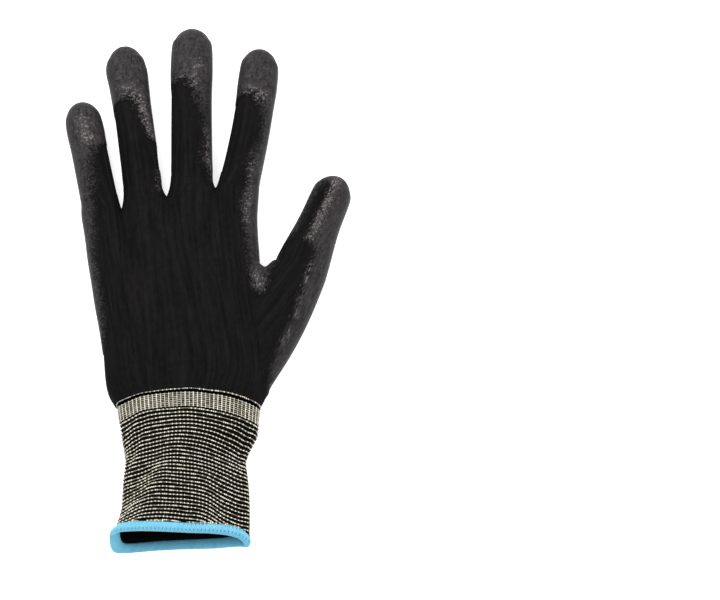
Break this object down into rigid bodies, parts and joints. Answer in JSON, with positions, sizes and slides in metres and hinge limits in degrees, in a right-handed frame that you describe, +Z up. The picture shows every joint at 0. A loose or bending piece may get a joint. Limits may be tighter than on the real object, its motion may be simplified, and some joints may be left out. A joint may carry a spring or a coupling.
{
  "type": "coated knit work glove",
  "caption": "Left-hand black knit work glove lying palm down, with a dipped palm and fingertips, a striped elastic cuff and a blue bound edge.",
  "frame": {"origin": "on the floor under the palm, near the middle of the glove's length, palm side down", "axes": "+Y from the wrist to the fingertips, +X to the thumb, +Z up through the back of the hand"},
  "size_m": [0.1291, 0.2506, 0.0249],
  "materials": {
    "black_knit": "matte fine knit",
    "coating": "thin dipped film with the knit showing through, slightly glossy",
    "cream_knit": "dense cream elastic courses with black dots",
    "cuff_knit": "black elastic rib with cream dashed courses",
    "blue_thread": "overlock thread"
  },
  "bodies": {
    "root": {"hand_body": "black_knit", "palm_coating": "coating", "little_finger": "black_knit", "little_finger_coating": "coating", "ring_finger": "black_knit", "ring_finger_coating": "coating", "middle_finger": "black_knit", "middle_finger_coating": "coating", "index_finger": "black_knit", "index_finger_coating": "coating", "thumb": "black_knit", "thumb_coating": "coating", "wrist_band": "cream_knit", "cuff": "cuff_knit", "hem": "blue_thread"}
  },
  "joints": []
}
